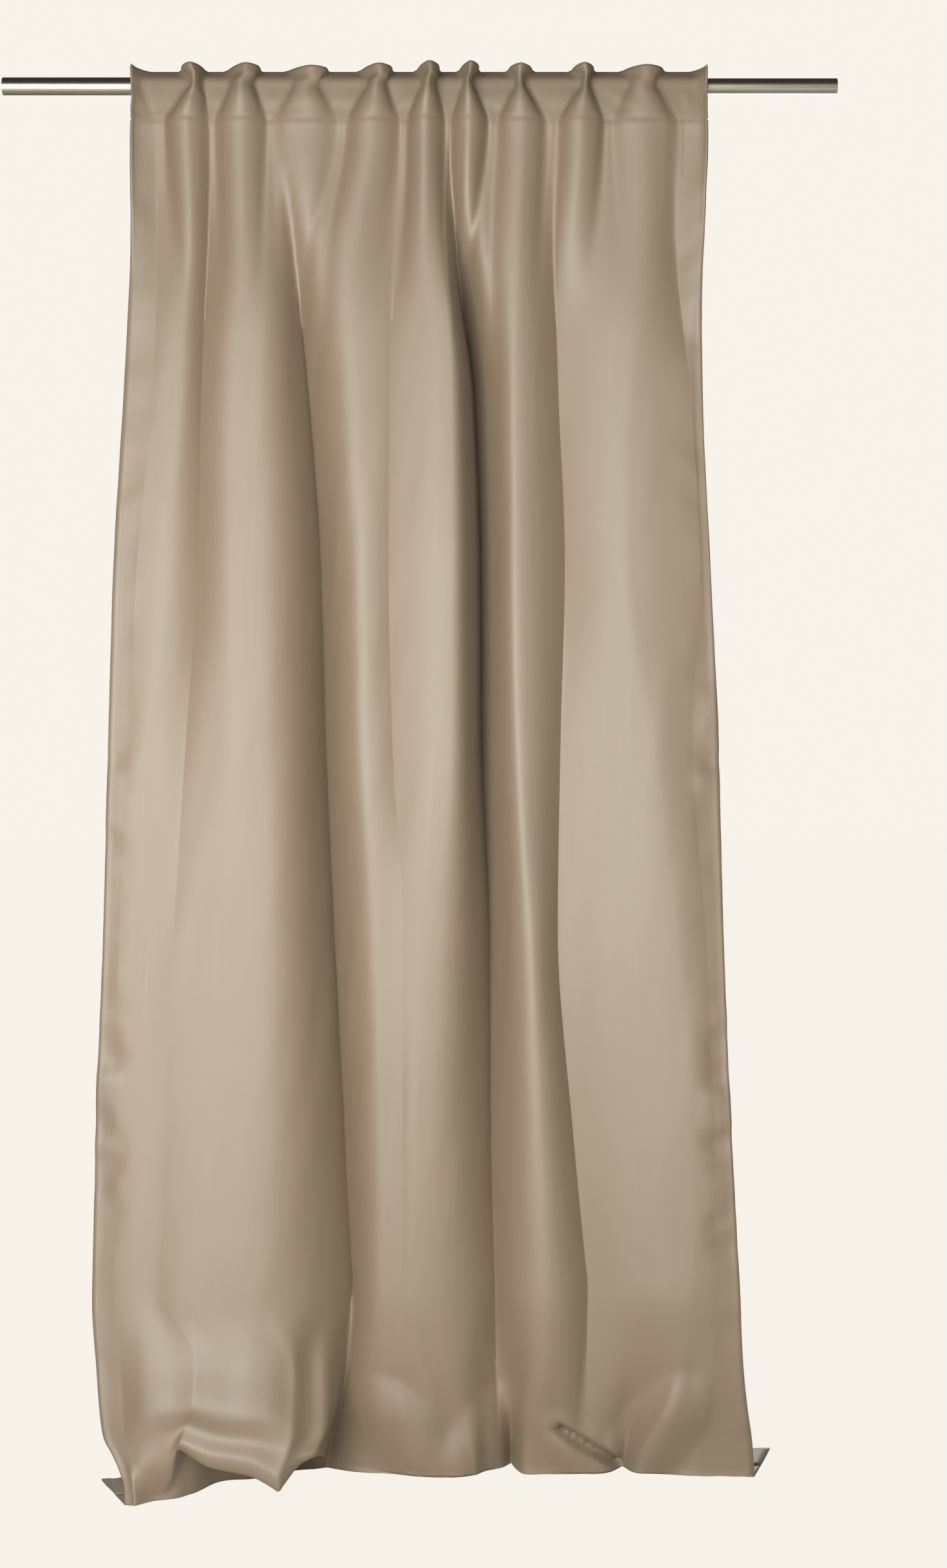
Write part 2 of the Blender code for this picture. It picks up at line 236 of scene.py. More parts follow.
def rounded(points):
    """A level's edges, valleys and ridges, with two rounding points between each pair."""
    points = np.array(points, float)
    out = []
    for number, (here, after) in enumerate(zip(points, points[1:])):
        to_valley = ((0.0, 0.0), (0.45, 0.25), (0.84, 0.78))
        to_ridge = ((0.0, 0.0), (0.16, 0.22), (0.55, 0.75))
        for share, rise in to_valley if number % 2 == 0 else to_ridge:
            point = here + (after - here) * rise
            point[0] = here[0] + (after[0] - here[0]) * share
            out.append(point)
    return np.array(out + [points[-1]])


def held_back(z):
    """How far back the heading lies at a tab, at one height."""
    reach = ROD_R + 2.0 * CLOTH_T + ROD_GAP
    if z >= 0.0:
        leaves = min(z, LEAVES_ROD)
        return -math.sqrt(reach * reach - leaves * leaves) + LEAN_BACK * (z - leaves)
    return -reach - SEAM_FORWARD * min(z / SEAM_Z, 1.0)


def crest(start, end, cloth, base):
    """Depth of the ridge that uses up a length of cloth between two sides of a neck."""
    low, high = 0.0, cloth
    for _ in range(24):
        depth = 0.5 * (low + high)
        line = [(start, 0.0), (base[0], 0.70 * depth), (0.5 * (start + end), depth),
                (base[1], 0.70 * depth), (end, 0.0)]
        length = sum(math.dist(a, b) for a, b in zip(line, line[1:]))
        low, high = (depth, high) if length < cloth else (low, depth)
    return 0.93 * low


def heading_level(z, pinch, edge_y):
    """One level of the heading. pinch is 1 beside the rod and 0 where the ridges open out."""
    y_tab = held_back(z)
    front = min(y_tab, held_back(0.0))
    hold = OPEN_HOLD + (1.0 - OPEN_HOLD) * pinch
    lefts = (LEFT_EDGE[2], *[neck[1] for neck in NECKS])
    rights = (*[neck[0] for neck in NECKS], RIGHT_EDGE[2])
    points = [(LEFT_EDGE[0], edge_y[0], z), (LEFT_EDGE[1], 0.5 * (edge_y[0] + y_tab), z)]
    for number, x in enumerate(TAB_X):
        left = x + (lefts[number] - x) * hold
        right = x + (rights[number] - x) * hold
        points += [(left, y_tab, z), (x, y_tab, z), (right, y_tab, z)]
        if number < RIDGES:
            after = TAB_X[number + 1]
            far = after + (lefts[number + 1] - after) * hold
            width = far - right
            cloth = TAB_PITCH - (right - x) - (after - far)
            lean = RIDGE_LEANS[number] * min(max(z / 0.010, 0.0), 1.0)
            sides = (right + SIDE_IN * width + lean, far - SIDE_IN * width + lean)
            middle = 0.5 * (right + far) + lean
            share = RIDGE_SHARES[number] * (OPEN_DEPTH + (1.0 - OPEN_DEPTH) * pinch)
            depth = share * crest(right, far, max(cloth, width * 1.05), sides)
            side_y = (1.0 - SIDE_OUT) * y_tab + SIDE_OUT * (front - depth)
            points += [(sides[0], side_y, z), (middle, front - depth, z), (sides[1], side_y, z)]
    points += [(RIGHT_EDGE[1], 0.5 * (edge_y[1] + y_tab), z), (RIGHT_EDGE[0], edge_y[1], z)]
    return np.array(points)


# %% [markdown]
# ### Curves between the drawn points
#
# Two kinds of curve fill in what isn't drawn. Across a level of the heading or the foot, a
# smooth curve passes through the points. Down the cloth, a curve that never overshoots keeps
# the wall of the cloth straight where it should be straight.

# %% The two curves


def no_overshoot(t, points, where):
    """Monotone cubic curves through points[i] at t[i], read at where."""
    gap = np.diff(t)[:, None, None]
    slope = np.diff(points, axis=0) / gap
    before, after = slope[:-1], slope[1:]
    w1, w2 = 2 * gap[1:] + gap[:-1], gap[1:] + 2 * gap[:-1]
    turning = before * after <= 0
    safe_before, safe_after = np.where(turning, 1.0, before), np.where(turning, 1.0, after)
    middle = np.where(turning, 0.0, (w1 + w2) / (w1 / safe_before + w2 / safe_after))
    m = np.concatenate([slope[:1], middle, slope[-1:]])
    k = np.clip(np.searchsorted(t, where, side="right") - 1, 0, len(t) - 2)
    h = (t[k + 1] - t[k])[:, None, None]
    f = ((where - t[k])[:, None, None]) / h
    return (
        points[k] * (1 + 2 * f) * (1 - f) ** 2 + m[k] * h * f * (1 - f) ** 2
        + points[k + 1] * f * f * (3 - 2 * f) + m[k + 1] * h * f * f * (f - 1)
    )


def smooth_line(points, steps):
    """A smooth curve through points, with equal steps between each pair."""
    padded = np.vstack([2 * points[0] - points[1], points, 2 * points[-1] - points[-2]])
    gaps = np.linalg.norm(np.diff(padded, axis=0), axis=1)
    knots = np.concatenate([[0.0], np.cumsum(np.sqrt(gaps + 1e-9))])
    out = []
    for i in range(1, len(padded) - 2):
        t0, t1, t2, t3 = knots[i - 1 : i + 3]
        t = np.linspace(t1, t2, steps, endpoint=False)[:, None]
        p0, p1, p2, p3 = padded[i - 1 : i + 3]
        a1 = p0 * (t1 - t) / (t1 - t0) + p1 * (t - t0) / (t1 - t0)
        a2 = p1 * (t2 - t) / (t2 - t1) + p2 * (t - t1) / (t2 - t1)
        a3 = p2 * (t3 - t) / (t3 - t2) + p3 * (t - t2) / (t3 - t2)
        b1 = a1 * (t2 - t) / (t2 - t0) + a2 * (t - t0) / (t2 - t0)
        b2 = a2 * (t3 - t) / (t3 - t1) + a3 * (t - t1) / (t3 - t1)
        out.append(b1 * (t2 - t) / (t2 - t1) + b2 * (t - t1) / (t2 - t1))
    return np.vstack(out + [points[-1:]])


def along(line):
    """Distance along a line of points to each of them."""
    return np.concatenate([[0.0], np.cumsum(np.linalg.norm(np.diff(line, axis=0), axis=1))])


# %% [markdown]
# ### The levels of the hanging cloth
#
# Below the seam the wall between two fold points is a power curve: flat over the ridge, then
# steep into the valley. Its points crowd towards the valley, where the cloth turns sharply.
# Just under the seam the heading's small ridges still show, and die away on the way down.

# %% One level of the hanging cloth
FOLD_DOWN = np.array([-row[0] for row in FOLDS]) / 1000.0
FOLD_POINTS = np.array([row[1:] for row in FOLDS]) / 1000.0
ENDS_OF_WALLS = np.cumsum([count for _, count in WALLS])
# How far below the seam the heading's ridges have gone, and how much a wall's points crowd.
GATHER_REACH, CROWDING = 0.34, 1.4
# What is left of a narrow fold's half width at its tip.
TIP_HALF = 0.012
print(ENDS_OF_WALLS[-1] + 1, "columns in the grid")


def plan_line(z):
    """The folds at one height as a line of (x, y) points, one for each column of the grid."""
    where = np.array([np.clip(-z, FOLD_DOWN[0], FOLD_DOWN[-1])])
    marks = no_overshoot(FOLD_DOWN, FOLD_POINTS, where)[0]
    line = []
    for number, ((power, count), here, after) in enumerate(zip(WALLS, marks, marks[1:])):
        t = np.arange(count) / count
        if number % 2 == 0:
            t = 1.0 - (1.0 - t) ** CROWDING
            depth = t**power
        else:
            t = t**CROWDING
            depth = 1.0 - (1.0 - t) ** power
        line.append(here + np.stack([t, depth], axis=1) * (after - here))
    return np.vstack(line + [marks[-1:]])


def hanging_level(z, seam):
    """A level below the seam: the heading's ridges die away as the long folds take over."""
    line = plan_line(z)
    share = min((SEAM_Z - z) / GATHER_REACH, 1.0)
    hold = 1.0 - share * share * (3.0 - 2.0 * share)
    x = line[:, 0] * (1.0 - hold) + seam[:, 0] * hold
    y = np.interp(x, line[:, 0], line[:, 1]) * (1.0 - hold) + seam[:, 1] * hold
    for top_x, tip_x, tip_z, half, height in RUN_OUTS:
        left = max((z - tip_z) / (SEAM_Z - tip_z), 0.0)
        middle = tip_x + (top_x - tip_x) * left
        hill = np.clip(1.0 - ((x - middle) / (half * left + TIP_HALF)) ** 2, 0.0, None) ** 1.5
        y = y - height * (1.0 - hold) * left * hill
    return np.stack([x, y, np.full(len(x), z)], axis=1)


# %% The control net: rows of points from the top edge to the end on the floor
# Levels of the heading: height, how far its ridges are pinched, and the y of its two edges.
HEADING_LEVELS = (
    (HEADING_TOP, 0.50, -0.034, -0.030), (0.0235, 0.58, -0.034, -0.030), (0.0190, 0.72, -0.034, -0.030),
    (0.0145, 0.88, -0.033, -0.030), (0.0090, 0.98, -0.033, -0.030), (0.0020, 1.0, -0.033, -0.030),
    (-0.007, 1.0, -0.033, -0.030), (-0.018, 0.82, -0.034, -0.031), (-0.034, 0.50, -0.036, -0.034),
    (-0.050, 0.20, -0.037, -0.036), (SEAM_Z, 0.05, -0.038, -0.038),
)
FIRST_HANGING, HANGING_LEVELS = -0.085, 48
# Rows on the floor: how far towards the cloth's end, and how far down the flat cloth.
FLOOR_ROWS = ((0.0, 2.300), (0.12, 2.318), (0.5, 2.375), (1.0, FLAT_LENGTH))


def control_net():
    """Rows of points, one for each column of the grid, and how far down the flat cloth each is."""
    rows = []
    for z, pinch, left, right in HEADING_LEVELS:
        rows.append(smooth_line(heading_level(z, pinch, (left, right)), STEPS))
    lengths = [HEADING_TOP - level[0] for level in HEADING_LEVELS]
    seam = rows[-1]
    for z in np.linspace(FIRST_HANGING, -FOLD_DOWN[-1], HANGING_LEVELS):
        rows.append(hanging_level(z, seam))
        lengths.append(HEADING_TOP - z)
    fold = [(x, y, FLOOR_Z) for x, y in FLOOR_FOLD]
    hanging, landed = rows[-1], smooth_line(rounded(fold), STEPS)
    for (share, z, sagging), down in zip(FOOT, FOOT_DOWN):
        row = hanging + (landed - hanging) * share
        row[:, 2] = z
        last = COLUMNS_EACH * (len(sagging) - 1)
        blend = np.clip((last - np.arange(len(row))) / COLUMNS_EACH, 0.0, 1.0)[:, None]
        padded = list(sagging) + [sagging[-1]] * (FEATURES - len(sagging))
        rows.append(row * (1 - blend) + smooth_line(rounded(padded), STEPS) * blend)
        lengths.append(down)
    end = smooth_line(rounded([(x, y, FLOOR_Z) for x, y in FLOOR_END]), STEPS)
    for share, down in FLOOR_ROWS:
        rows.append(landed + (end - landed) * share)
        lengths.append(down)
    return np.array(rows), np.array(lengths)


NET, DOWN = control_net()
print("control net", NET.shape, "from", DOWN[0], "to", DOWN[-1], "m down the cloth")

# %% [markdown]
# ### From the net to a fine grid
#
# The net already has every column of the grid, so only rows are added, read off the curves
# that run down its columns. Each point also keeps its distance across the flat cloth, which
# places stitches and hems. Along the long folds the bottom of a valley is marked as a crease.

# %% The rows and columns of the cloth's grid
ROWS_DOWN = np.concatenate([
    np.linspace(0.0, 0.100, 26)[:-1], np.linspace(0.100, 2.000, 168)[:-1],
    np.linspace(2.000, 2.262, 33)[:-1], np.linspace(2.262, 2.315, 20)[:-1],
    np.linspace(2.315, FLAT_LENGTH, 13),
])
VALLEYS = tuple(int(column) for column in ENDS_OF_WALLS[::2])
CREASED = (ROWS_DOWN > 0.40) & (ROWS_DOWN < 2.10)
GRID = no_overshoot(DOWN, NET, ROWS_DOWN)
ACROSS_COUNT = GRID.shape[1]


def flat_places(grid):
    """How far across the flat cloth each point of the grid lies, from the length of its row."""
    rows = np.array([along(row) for row in grid])
    print("cloth across each level, least and most", rows[:, -1].min().round(3), rows[:, -1].max().round(3))
    return rows / rows[:, -1:] * FLAT_WIDTH


ACROSS = flat_places(GRID)
print("grid", GRID.shape)


def front_normals(grid):
    """Unit normals of a grid of points, on the side that faces the room."""
    across = np.gradient(grid, axis=1)
    down = np.gradient(grid, axis=0)
    normal = np.cross(down, across)
    return normal / (np.linalg.norm(normal, axis=2, keepdims=True) + 1e-12)


# %% [markdown]
# ### Bellies, a tuck, and the rod behind the heading
#
# As the hanging cloth meets the floor it slumps forward in soft bellies, and one fold lies
# down sideways and leaves a tuck. At the top the cloth is pressed against the rod and the
# tabs, so it can't bulge back past them. All of this only moves points forward or back.

# %% Bellies, tuck and rod
# A belly has the x and z of its middle, half its width and height, how far it stands, and how
# much it leans sideways.
BELLIES = ((-0.030, -2.190, 0.080, 0.110, 0.023, 0.35), (0.105, -2.200, 0.070, 0.100, 0.020, -0.40),
           (0.380, -2.195, 0.080, 0.120, 0.026, -0.50), (0.245, -2.215, 0.060, 0.075, 0.018, 0.45))
# The tuck runs from its first (x, z) to its second.
TUCK_FROM, TUCK_TO = np.array([0.228, -2.180]), np.array([0.322, -2.243])
TUCK_HALF, TUCK_DEPTH = 0.012, 0.032
CLEAR_OF_FLOOR = 0.004


def slump(grid):
    """Pushes the bellies out and the tuck in, where the cloth doesn't lie on the floor."""
    hanging = grid[:, :, 2] > FLOOR_Z + CLEAR_OF_FLOOR
    for x, z, half_x, half_z, stands, lean in BELLIES:
        aside = (grid[:, :, 0] - x - lean * (z - grid[:, :, 2])) / half_x
        above = (grid[:, :, 2] - z) / half_z
        hill = np.clip(1.0 - aside**2 - above**2, 0.0, 1.0) ** 1.5
        grid[:, :, 1] -= stands * hill * hanging
    tuck = TUCK_TO - TUCK_FROM
    offset = grid[:, :, (0, 2)] - TUCK_FROM
    share = np.clip(offset @ tuck / (tuck @ tuck), 0.0, 1.0)
    away = np.linalg.norm(offset - share[:, :, None] * tuck, axis=2)
    grid[:, :, 1] += TUCK_DEPTH * np.clip(1.0 - away / TUCK_HALF, 0.0, 1.0) * hanging


def press(grid):
    """Keeps the heading in front of the rod and the tabs, before it gets its wrinkles."""
    for row in range(int((ROWS_DOWN <= HEADING_DEPTH).sum())):
        limit = held_back(HEADING_TOP - ROWS_DOWN[row])
        grid[row, :, 1] = np.minimum(grid[row, :, 1], limit)


slump(GRID)
press(GRID)
print(len(BELLIES), "bellies and a tuck of", TUCK_DEPTH, "m")

# %% [markdown]
# ### Wrinkles that sewing leaves
#
# Thread pulls a little tighter than cloth, so every seam puckers: small ripples stand square
# to the stitching and die away within a few centimetres. The long body of the cloth has
# only faint soft waves. Both are drawn as seeded noise, pushed out along the cloth's normals.

# %% Seeded noise, and the wrinkles


def soft_noise(across, down, cell, seed):
    """Smooth random values from -1 to 1, with a cell size in metres each way."""
    table = np.random.default_rng(seed).uniform(-1.0, 1.0, (64, 512))
    x, y = np.broadcast_arrays(across / cell[0], down / cell[1])
    xi, yi = np.floor(x).astype(int), np.floor(y).astype(int)
    fx, fy = x - xi, y - yi
    fx, fy = fx * fx * (3 - 2 * fx), fy * fy * (3 - 2 * fy)
    a, b = table[yi % 64, xi % 512], table[yi % 64, (xi + 1) % 512]
    c, d = table[(yi + 1) % 64, xi % 512], table[(yi + 1) % 64, (xi + 1) % 512]
    return (a * (1 - fx) + b * fx) * (1 - fy) + (c * (1 - fx) + d * fx) * fy


def bump(value, centre, width):
    """A smooth hill, 1 at its centre and 0 past its width."""
    return np.clip(1.0 - ((value - centre) / width) ** 2, 0.0, 1.0) ** 2


# Where the seams run, down the flat cloth or in from its side.
SEAM_DOWN = HEADING_DEPTH - 0.002
SIDE_SEAM = 0.0125
HEM_SEAM_DOWN = FLAT_LENGTH - HEM_DEPTH + 0.003

# How high the ripples are: long and slanting ones in the body, then the puckers of each place.
LONG_WAVES, SLANTING_WAVES = 0.0007, 0.0006
HEADING_PUCKERS, SEAM_PUCKERS, SIDE_PUCKERS, HEM_PUCKERS = 0.0014, 0.0014, 0.0062, 0.0009
# How far the thread pulls the cloth in along a seam.
SEAM_PULL, SIDE_PULL = 0.0014, 0.0006
# Where each side hem puckers most: distance down, half the stretch, strength.
PUCKERED_LEFT = ((1.17, 0.10, 0.5), (1.66, 0.24, 1.0))
PUCKERED_RIGHT = ((1.12, 0.20, 0.9), (1.74, 0.32, 1.0))


def wrinkles(u, v):
    """How far the cloth stands out at a distance across and a distance down the flat cloth."""
    out = LONG_WAVES * soft_noise(u, v, (0.045, 0.50), 11) * np.clip((v - 0.15) / 0.3, 0, 1)
    slanting = soft_noise(u + 0.22 * v, v, (0.030, 0.22), 12)
    out = out + SLANTING_WAVES * slanting * np.clip((v - 0.2) / 0.3, 0, 1)
    out = out + HEADING_PUCKERS * (1.0 + soft_noise(u, v, (0.016, 0.026), 15)) * bump(v, 0.055, 0.032)
    below = np.clip(v - SEAM_DOWN, 0.0, 1.0)
    above = np.clip(SEAM_DOWN - v, 0.0, 1.0)
    gathers = 1.6 + soft_noise(u, v, (0.016, 0.08), 13)
    out = out + SEAM_PUCKERS * gathers * np.exp(-below / 0.020) * np.exp(-above / 0.010)
    out = out - SEAM_PULL * np.exp(-(((v - SEAM_DOWN) / 0.0040) ** 2))
    for side, seed, spans in ((u, 21, PUCKERED_LEFT), (FLAT_WIDTH - u, 22, PUCKERED_RIGHT)):
        strength = 0.25 + sum(k * bump(v, middle, half) for middle, half, k in spans)
        ripple = soft_noise(side, v, (0.08, 0.034), seed)
        ripple = ripple + 0.4 * soft_noise(side, v, (0.04, 0.020), seed + 4)
        near = bump(side, 0.020, 0.050) * np.clip((v - 0.10) / 0.1, 0, 1)
        out = out + SIDE_PUCKERS * strength * ripple * near
        out = out - SIDE_PULL * np.exp(-(((side - SIDE_SEAM) / 0.004) ** 2)) * (v > HEADING_DEPTH)
    return out + HEM_PUCKERS * soft_noise(u, v, (0.010, 0.06), 31) * bump(v, HEM_SEAM_DOWN, 0.035)


# %% The grid with its wrinkles
GRID = GRID + front_normals(GRID) * wrinkles(ACROSS, ROWS_DOWN[:, None])[:, :, None]
GRID[:, :, 2] = np.maximum(GRID[:, :, 2], FLOOR_Z - 0.0002)
NORMALS = front_normals(GRID)
print("grid box", GRID.reshape(-1, 3).min(axis=0), GRID.reshape(-1, 3).max(axis=0))

# %% Places on the cloth


def on_cloth(u, v, lift=0.0):
    """Points at distances u across and v down the flat cloth, lifted off its front face."""
    u, v = np.broadcast_arrays(np.asarray(u, float), np.asarray(v, float))
    out = np.zeros((*u.shape, 3))
    columns = np.arange(ACROSS_COUNT)
    for place in np.ndindex(u.shape):
        level = min(np.interp(v[place], ROWS_DOWN, np.arange(len(ROWS_DOWN))), len(ROWS_DOWN) - 1.000001)
        i = int(level)
        for row, share in ((i, 1.0 - level + i), (i + 1, level - i)):
            column = min(np.interp(u[place], ACROSS[row], columns), ACROSS_COUNT - 1.000001)
            j = int(column)
            f = column - j
            point = GRID[row, j] * (1 - f) + GRID[row, j + 1] * f
            normal = NORMALS[row, j] * (1 - f) + NORMALS[row, j + 1] * f
            out[place] += share * (point + lift * normal)
    return out


# %% Making a piece of cloth from a grid


def crease_valleys(mesh, index, down):
    """Marks the bottom of each valley sharp, so that its two walls are shaded apart."""
    pairs = {(index[r, c], index[r + 1, c]) for c in VALLEYS for r in range(len(down) - 1) if CREASED[r]}
    ends = np.zeros(2 * len(mesh.edges), int)
    mesh.edges.foreach_get("vertices", ends)
    sharp = [(a, b) in pairs or (b, a) in pairs for a, b in ends.reshape(-1, 2)]
    mesh.attributes.new("sharp_edge", "BOOLEAN", "EDGE").data.foreach_set("value", sharp)


def cloth_piece(name, points, across, down, thickness, material, replaces, body="curtain", draw=True):
    """A grid of points as a sheet with a closed wall, its flat sizes kept as a UV map in metres."""
    rows, columns = points.shape[:2]
    mesh = bpy.data.meshes.new(name)
    index = np.arange(rows * columns).reshape(rows, columns)
    quads = np.stack([index[:-1, :-1], index[1:, :-1], index[1:, 1:], index[:-1, 1:]], axis=-1)
    mesh.from_pydata(points.reshape(-1, 3).tolist(), [], quads.reshape(-1, 4).tolist())
    flat = np.stack(np.broadcast_arrays(across, down[:, None]), axis=-1).reshape(-1, 2)
    uv = mesh.uv_layers.new(name="flat_cloth")
    corners = np.zeros(len(mesh.loops), int)
    mesh.loops.foreach_get("vertex_index", corners)
    uv.data.foreach_set("uv", flat[corners].ravel())
    mesh.polygons.foreach_set("use_smooth", [True] * len(mesh.polygons))
    if rows == len(ROWS_DOWN):
        crease_valleys(mesh, index, down)
    mesh.materials.append(material)
    piece = bpy.data.objects.new(name, mesh)
    bpy.context.collection.objects.link(piece)
    wall = piece.modifiers.new("wall", "SOLIDIFY")
    wall.thickness = thickness
    wall.offset = -1.0
    wall.use_rim = True
    bpy.context.view_layer.update()
    solid = bpy.data.meshes.new_from_object(piece.evaluated_get(bpy.context.evaluated_depsgraph_get()))
    piece.modifiers.clear()
    piece.data = solid
    solid.name = name
    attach(piece, body)
    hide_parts(*replaces)
    if draw:
        gather(piece)
    print(name, len(solid.polygons), "faces")
    return piece


def gather(piece):
    """Gives the piece its own copy of its mesh. Cloth closes up towards the first tab as the curtain is
    drawn, but nothing here makes it do so.
    """
    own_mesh(piece)


# %% [markdown]
# ## The satin
#
# The curtain is a plain polyester satin in a warm beige. Its threads float over several
# others, so the face has a broad soft gloss, and shaded folds turn a deeper, warmer brown
# because light bounces between walls of the same colour. Real threads are about 0.15 mm
# apart, too fine to see from across a room, so the grain is drawn ten times coarser.

# %% Woven polyester satin: soft wide gloss, warm in the folds


def woven_satin(name, deep, pale, gloss=0.54):
    """A satin between two dye tones, with long faint streaks and a fine grain."""
    material, tree = new_material(name)
    flat = add(tree, "ShaderNodeUVMap", {"uv_map": "flat_cloth"}).outputs["UV"]
    long_threads = add(tree, "ShaderNodeMapping", Vector=flat, Scale=(260.0, 3.0, 1.0))
    streaks = add(tree, "ShaderNodeTexNoise", Vector=long_threads.outputs[0], Scale=1.0, Detail=3.0,
                  Roughness=0.6)
    broad = add(tree, "ShaderNodeTexNoise", Vector=flat, Scale=7.0, Detail=2.0)
    blend = add(tree, "ShaderNodeMath", {"operation": "MULTIPLY_ADD"}, in_0=streaks.outputs["Fac"], in_1=0.55)
    tree.links.new(add(tree, "ShaderNodeMath", {"operation": "MULTIPLY"}, in_0=broad.outputs["Fac"],
                       in_1=0.45).outputs[0], blend.inputs[2])
    tone = add(tree, "ShaderNodeMix", {"data_type": "RGBA"}, in_0=blend.outputs[0], in_6=linear(deep),
               in_7=linear(pale))
    weft = add(tree, "ShaderNodeTexWave", {"bands_direction": "Y"}, Vector=flat, Scale=210.0,
               Distortion=2.5, Detail=2.0)
    warp = add(tree, "ShaderNodeTexWave", {"bands_direction": "X"}, Vector=flat, Scale=210.0,
               Distortion=2.5, Detail=2.0)
    weave = add(tree, "ShaderNodeMath", {"operation": "MULTIPLY"}, in_0=weft.outputs["Fac"],
                in_1=warp.outputs["Fac"])
    relief = add(tree, "ShaderNodeBump", Strength=0.10, Distance=0.0004, Height=weave.outputs[0])
    shine = add(tree, "ShaderNodeMapRange", Value=streaks.outputs["Fac"], To_Min=gloss - 0.04,
                To_Max=gloss + 0.06)
    surface = add(tree, "ShaderNodeBsdfPrincipled", Base_Color=tone.outputs[2], Roughness=shine.outputs[0],
                  Normal=relief.outputs[0])
    surface.inputs["Specular IOR Level"].default_value = 1.0
    surface.inputs["Sheen Weight"].default_value = 0.12
    surface.inputs["Sheen Roughness"].default_value = 0.45
    surface.inputs["Sheen Tint"].default_value = linear("#E8DCC8")
    add(tree, "ShaderNodeOutputMaterial", Surface=surface.outputs[0])
    return material


def sewing_thread(name, colour):
    """Spun polyester thread: a matt fibre core with a slight shine on its twist."""
    material, tree = new_material(name)
    place = add(tree, "ShaderNodeTexCoord").outputs["Object"]
    twist = add(tree, "ShaderNodeTexNoise", Vector=place, Scale=900.0, Detail=1.0)
    tone = add(tree, "ShaderNodeMix", {"data_type": "RGBA"}, in_0=twist.outputs["Fac"],
               in_6=linear(colour), in_7=linear("#B5A58E"))
    surface = add(tree, "ShaderNodeBsdfPrincipled", Base_Color=tone.outputs[2], Roughness=0.5)
    add(tree, "ShaderNodeOutputMaterial", Surface=surface.outputs[0])
    return material


SATIN = woven_satin("woven_polyester_satin", "#83725C", "#8E7D67")
TAB_SATIN = woven_satin("woven_polyester_satin_tabs", "#7F6E58", "#8A7963", 0.56)
THREAD = sewing_thread("spun_polyester_thread", "#8E7D67")

# %% [markdown]
# ## The pieces of the curtain
#
# The front is one length of cloth. At the top and the foot it is turned over to the back, and
# down both sides a narrow hem is rolled, so those parts carry one or two further layers. Each
# layer is cut from the same grid, a little further back, so it follows every fold.

# %% The front of the curtain
curtain = cloth_piece("curtain_cloth", GRID, ACROSS, ROWS_DOWN, CLOTH_T, SATIN,
                      ("curtain_panel",))

# %% The heading's turned-over layer
LAYER_BACK = CLOTH_T + 0.0002


def turning(name, rows, thickness, slot, node):
    """A turned-over layer as wide as the curtain, behind some of its rows."""
    return cloth_piece(name, GRID[rows] - LAYER_BACK * NORMALS[rows], ACROSS[rows], ROWS_DOWN[rows],
                       thickness, SATIN, (node,))


heading = turning("heading_turning", (ROWS_DOWN > 0.0005) & (ROWS_DOWN < HEADING_DEPTH), CLOTH_T,
                  "heading_satin", "heading")

# %% The two side hems
side_rows = ROWS_DOWN[(ROWS_DOWN > HEADING_DEPTH + 0.001) & (ROWS_DOWN < FLAT_LENGTH - HEM_DEPTH - 0.002)]


def side_hem(side, start):
    """A narrow rolled hem behind one edge, three layers with the front."""
    u = np.linspace(start, start + SIDE_HEM - 0.0003, 4)
    name = "side_hem_" + side
    return cloth_piece(name + "_roll", on_cloth(u[None, :], side_rows[:, None], -LAYER_BACK), u, side_rows,
                       2 * CLOTH_T, SATIN, (name,))


left_hem = side_hem("left", 0.0003)
right_hem = side_hem("right", FLAT_WIDTH - SIDE_HEM)

# %% The bottom hem
bottom_hem = turning("bottom_hem_turning", ROWS_DOWN > FLAT_LENGTH - HEM_DEPTH - 0.001, 2 * CLOTH_T,
                     "bottom_hem_satin", "bottom_hem")

# %% [markdown]
# ## The tabs on the back
#
# Ten short strips are sewn to the back of the heading at its top and at the seam, and the rod
# runs between them and the heading. A strip that a tube pulls on lies tight round it, so its
# side view is an arc with two short straights.

# %% One tab's side view, and the ten tabs
TAB_WIDTH = 0.036
TAB_T = 2 * CLOTH_T
TAB_BEHIND = 2 * CLOTH_T + 0.0006


def tab_side_view():
    """Points (y, z) of the face that touches the heading and the rod."""
    touch = ROD_R + 0.0004
    points = [(held_back(z) + TAB_BEHIND, z) for z in (0.0240, 0.0215, 0.0185)]
    for degrees in (84, 66, 48, 30, 12, -6, -24, -42):
        turn = math.radians(degrees)
        points.append((touch * math.cos(turn), touch * math.sin(turn)))
    points += [(0.0062, -0.021), (0.0000, -0.036)]
    points += [(held_back(z) + TAB_BEHIND, z) for z in (-0.0500, -0.0545, -0.0590)]
    return points


def tab_points(x):
    """The grid of one tab, sampled evenly down its side view."""
    line = smooth_line(np.array([(0.0, y, z) for y, z in tab_side_view()]), 4)
    across = np.linspace(-0.5 * TAB_WIDTH, 0.5 * TAB_WIDTH, 7)
    grid = np.repeat(line[:, None, :], len(across), axis=1)
    grid[:, :, 0] = x + across[None, :]
    return grid, across + 0.5 * TAB_WIDTH, along(line)


for number, x in enumerate(TAB_X, start=1):
    grid, u, down = tab_points(x)
    cloth_piece(
        "tab_strip_%02d" % number, grid, u, down, TAB_T, TAB_SATIN,
        ("back_tab_%02d" % number,),
        body="curtain" if number == 1 else "tab_%02d" % number, draw=False,
    )

# %% [markdown]
# ## Stitches
#
# A lockstitch shows as a row of short dashes. Geometry Nodes cut a path into steps of one
# stitch and set a small spindle of thread along it at each step. The dashes are drawn about
# twice as thick as real thread, which would be too fine to see.

# %% The stitching tree


